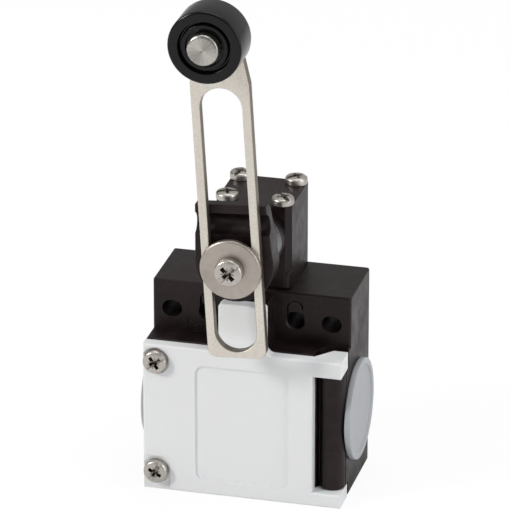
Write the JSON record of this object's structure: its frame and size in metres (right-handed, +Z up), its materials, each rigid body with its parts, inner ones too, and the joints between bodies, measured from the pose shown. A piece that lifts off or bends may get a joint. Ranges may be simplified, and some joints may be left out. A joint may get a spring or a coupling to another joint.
{
  "type": "limit switch",
  "caption": "Limit switch with a hinged front cover, square head and an adjustable roller lever on a turning shaft.",
  "frame": {"origin": "midway between the two outer fixing holes, on the rear mounting face", "axes": "+X to the right seen from the front, +Y to the rear into the mounting surface, +Z up towards the roller"},
  "size_m": [0.0532, 0.0519, 0.1345],
  "materials": {
    "black_plastic": "fine-grained moulded, glass-filled",
    "grey_cover": "satin moulded",
    "seal_rubber": "matt",
    "bright_screw": "bright nickel plated",
    "pin_steel": "turned and ground",
    "spring_steel": "drawn wire",
    "plug_plastic": "translucent milky, satin",
    "cam_plastic": "natural acetal",
    "lever_steel": "satin nickel plated sheet",
    "washer_steel": "turned, nickel plated",
    "roller_plastic": "gloss moulded",
    "block_plastic": "moulded",
    "carrier_plastic": "moulded",
    "contact_brass": "rolled",
    "clamp_steel": "zinc plated"
  },
  "bodies": {
    "housing": {"body_housing": "black_plastic", "hinge_pin": "pin_steel", "left_entry_plug": "plug_plastic", "right_entry_plug": "plug_plastic", "head_housing": "black_plastic", "head_gasket": "seal_rubber", "head_screws": "bright_screw", "shaft_seal": "seal_rubber", "plunger_spring": "spring_steel", "contact_block": "block_plastic", "upper_left_terminal": "contact_brass", "upper_right_terminal": "contact_brass", "lower_left_terminal": "contact_brass", "lower_right_terminal": "contact_brass", "terminal_screws": "bright_screw", "terminal_clamps": "clamp_steel", "carrier_spring": "spring_steel"},
    "cover": {"cover": "grey_cover", "cover_gasket": "seal_rubber", "cover_screws": "bright_screw"},
    "shaft": {"cam_shaft": "pin_steel", "cam": "cam_plastic", "shaft_retaining_ring": "spring_steel", "index_collar": "black_plastic", "lever_hub": "black_plastic", "clamp_washer": "washer_steel", "clamp_screw": "bright_screw"},
    "lever": {"lever": "lever_steel", "roller_pin": "pin_steel", "roller_washer": "pin_steel"},
    "roller": {"roller": "roller_plastic"},
    "plunger": {"head_plunger": "cam_plastic"},
    "carrier": {"contact_carrier": "carrier_plastic", "upper_bridge": "contact_brass", "lower_bridge": "contact_brass", "upper_bridge_spring": "spring_steel", "lower_bridge_spring": "spring_steel"}
  },
  "joints": [
    {"name": "cover_open", "type": "hinge", "parent": "housing", "child": "cover", "pos_m": [0.0218, -0.0245, -0.02445], "axis": [0, 0, 1], "range_deg": [0, 12]},
    {"name": "lever_swing", "type": "hinge", "parent": "housing", "child": "shaft", "pos_m": [0, -0.03, 0.0209], "axis": [0, 1, 0], "range_deg": [-75, 75], "stiffness_Nm_per_rad": 0.12},
    {"name": "lever_extend", "type": "slide", "parent": "shaft", "child": "lever", "axis": [-0.061, 0, 0.9981], "range_m": [-0.039, 0.0148]},
    {"name": "roller_spin", "type": "hinge", "parent": "lever", "child": "roller", "pos_m": [-0.00366, -0.045, 0.08079], "axis": [0, 1, 0], "continuous": true},
    {"name": "plunger_slide", "type": "slide", "parent": "housing", "child": "plunger", "axis": [0, 0, 1], "range_m": [-0.0026, 0], "stiffness_N_per_m": 300, "deforming": ["plunger_spring"]},
    {"name": "carrier_slide", "type": "slide", "parent": "housing", "child": "carrier", "axis": [0, 0, 1], "range_m": [-0.0026, 0], "deforming": ["carrier_spring"]}
  ],
  "couplings": [
    {"joint": "carrier_slide", "follows": "plunger_slide", "ratio": 1}
  ]
}
